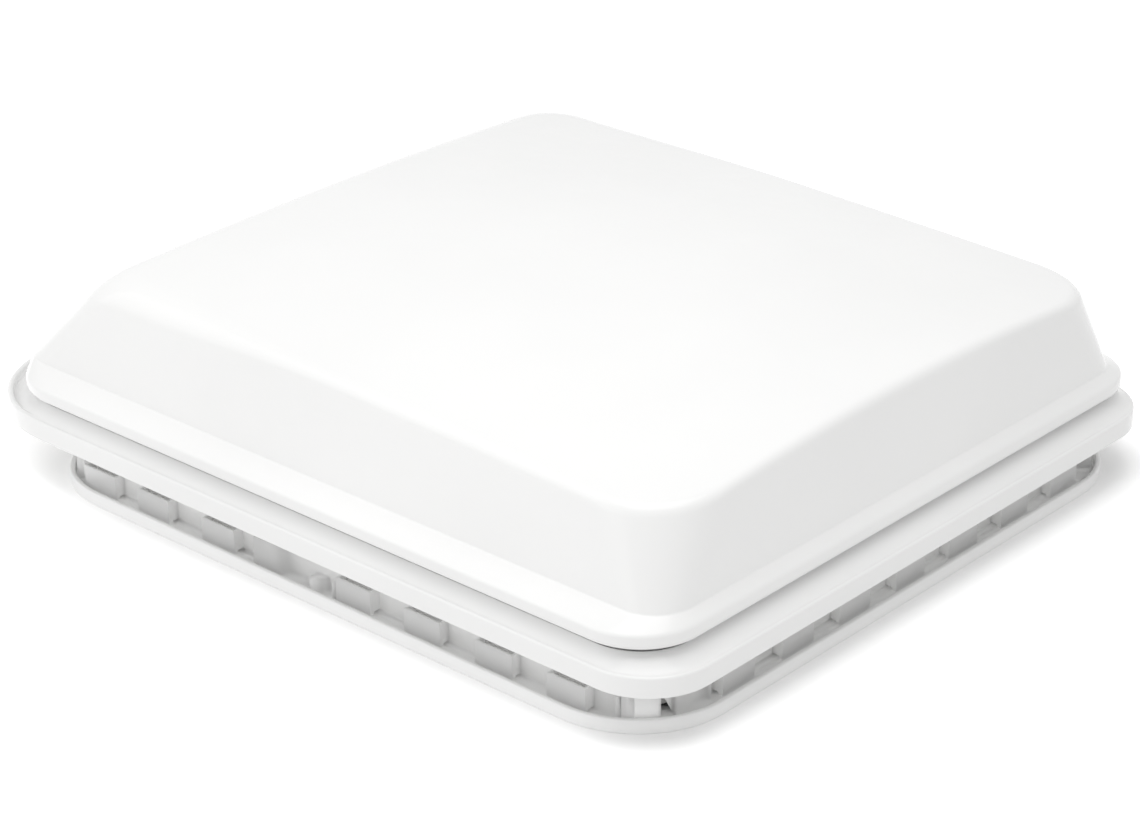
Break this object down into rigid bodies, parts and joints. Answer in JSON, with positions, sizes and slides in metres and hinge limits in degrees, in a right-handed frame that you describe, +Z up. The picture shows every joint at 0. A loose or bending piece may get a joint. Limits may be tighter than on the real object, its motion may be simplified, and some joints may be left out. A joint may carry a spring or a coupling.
{
  "type": "caravan roof vent",
  "caption": "White caravan roof vent: hinged domed lid on a roof flange, lifted by a crank and worm gear, with lower trim frame and hinged flyscreen.",
  "frame": {"origin": "middle of the roof cut-out, at the level where the flange's skirt rests on the roof", "axes": "+X away from the dome's hinge along the longer side, +Y across, +Z up out of the roof"},
  "size_m": [0.4783, 0.403, 0.1236],
  "materials": {
    "white_gloss": "glossy",
    "white_satin": "satin",
    "rubber": "matte",
    "grey_foam": "matte",
    "grey_plastic": "satin",
    "black_plastic": "matte",
    "bright_steel": "brushed",
    "zinc_sheet": "zinc plated",
    "screen_fabric": "woven"
  },
  "bodies": {
    "frame": {"outer_frame": "white_gloss", "roof_gasket": "grey_foam", "dome_seal": "rubber", "hinge_pins": "bright_steel", "shaft_bushes": "grey_plastic", "gearbox_housing": "grey_plastic", "gearbox_cover": "grey_plastic", "gearbox_screws": "bright_steel", "inner_frame": "white_satin", "clamp_screws": "bright_steel"},
    "dome": {"dome_shell": "white_gloss", "dome_ring": "white_satin", "hinge_leaves": "grey_plastic", "hinge_screws": "bright_steel", "rail_left": "zinc_sheet", "rail_right": "zinc_sheet", "rail_screws": "bright_steel"},
    "lift": {"cross_shaft": "bright_steel", "lift_arm_left": "zinc_sheet", "lift_arm_right": "zinc_sheet", "worm_wheel": "grey_plastic", "drive_pins": "bright_steel", "roller_pins": "bright_steel"},
    "crank": {"worm_spindle": "bright_steel", "crank_disc": "white_satin", "lever_pin": "bright_steel"},
    "crank_lever": {"crank_lever": "grey_plastic"},
    "roller_left": {"roller_left": "black_plastic"},
    "roller_right": {"roller_right": "black_plastic"},
    "flyscreen": {"flyscreen_frame": "white_satin", "flyscreen_mesh": "screen_fabric", "flyscreen_pins": "bright_steel"},
    "catch_left": {"catch_left": "white_satin"},
    "catch_right": {"catch_right": "white_satin"}
  },
  "joints": [
    {"name": "dome_hinge", "type": "hinge", "parent": "frame", "child": "dome", "pos_m": [-0.22, 0, 0.027], "axis": [0, -1, 0], "range_deg": [0, 50]},
    {"name": "lift_turn", "type": "hinge", "parent": "frame", "child": "lift", "pos_m": [-0.04997, 0, 0.00462], "axis": [0, -1, 0], "range_deg": [0, 100]},
    {"name": "crank_turn", "type": "hinge", "parent": "frame", "child": "crank", "pos_m": [-0.03297, -0.132, 0], "axis": [0, 0, -1], "range_deg": [0, 2400]},
    {"name": "lever_fold", "type": "hinge", "parent": "crank", "child": "crank_lever", "pos_m": [-0.04797, -0.119, -0.0243], "axis": [0, 1, 0], "range_deg": [0, 90]},
    {"name": "roller_left_spin", "type": "hinge", "parent": "lift", "child": "roller_left", "pos_m": [0.12007, -0.159, 0.027], "axis": [0, 1, 0], "continuous": true},
    {"name": "roller_right_spin", "type": "hinge", "parent": "lift", "child": "roller_right", "pos_m": [0.12007, 0.159, 0.027], "axis": [0, 1, 0], "continuous": true},
    {"name": "flyscreen_hinge", "type": "hinge", "parent": "frame", "child": "flyscreen", "pos_m": [0, 0.1602, -0.0245], "axis": [1, 0, 0], "range_deg": [0, 90]},
    {"name": "catch_left_slide", "type": "slide", "parent": "flyscreen", "child": "catch_left", "axis": [0, -1, 0], "range_m": [0, 0.006]},
    {"name": "catch_right_slide", "type": "slide", "parent": "flyscreen", "child": "catch_right", "axis": [0, -1, 0], "range_m": [0, 0.006]}
  ],
  "couplings": [
    {"joint": "lift_turn", "follows": "dome_hinge", "ratio": 2},
    {"joint": "crank_turn", "follows": "dome_hinge", "ratio": 48}
  ]
}
